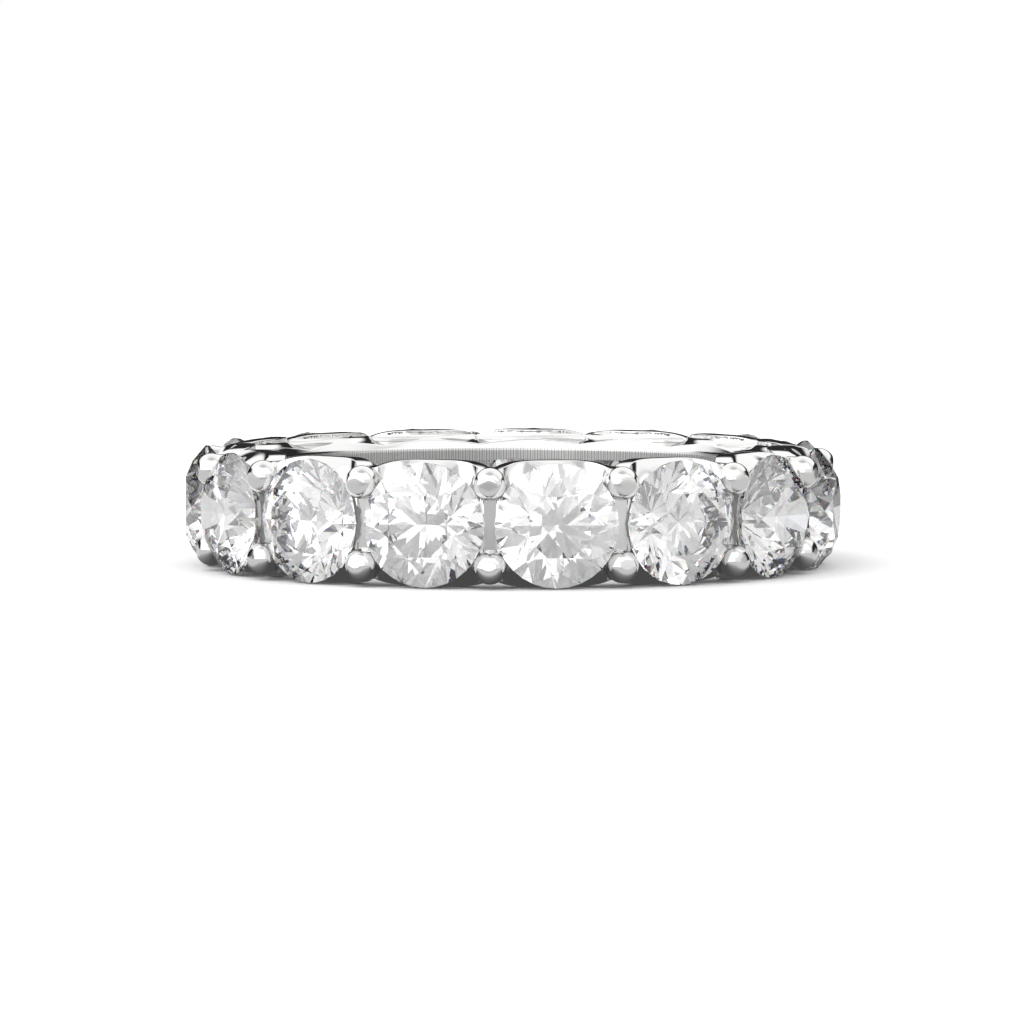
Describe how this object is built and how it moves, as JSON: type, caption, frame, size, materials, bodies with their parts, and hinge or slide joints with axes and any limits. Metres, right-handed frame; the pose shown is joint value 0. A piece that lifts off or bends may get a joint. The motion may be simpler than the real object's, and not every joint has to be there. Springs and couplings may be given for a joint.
{
  "type": "eternity ring",
  "caption": "Full eternity ring: round brilliant stones all round a scalloped polished band, held by shared round prongs.",
  "frame": {"origin": "centre of the finger hole, on the ring's axis and midway between its two sides", "axes": "+Z along the ring's axis, so the ring lies on its side, and a stone faces -Y"},
  "size_m": [0.022, 0.0218, 0.004],
  "materials": {
    "metal": "polished",
    "stone": "polished"
  },
  "bodies": {
    "root": {"band": "metal", "stone_1": "stone", "stone_2": "stone", "stone_3": "stone", "stone_4": "stone", "stone_5": "stone", "stone_6": "stone", "stone_7": "stone", "stone_8": "stone", "stone_9": "stone", "stone_10": "stone", "stone_11": "stone", "stone_12": "stone", "stone_13": "stone", "stone_14": "stone", "stone_15": "stone"}
  },
  "joints": []
}
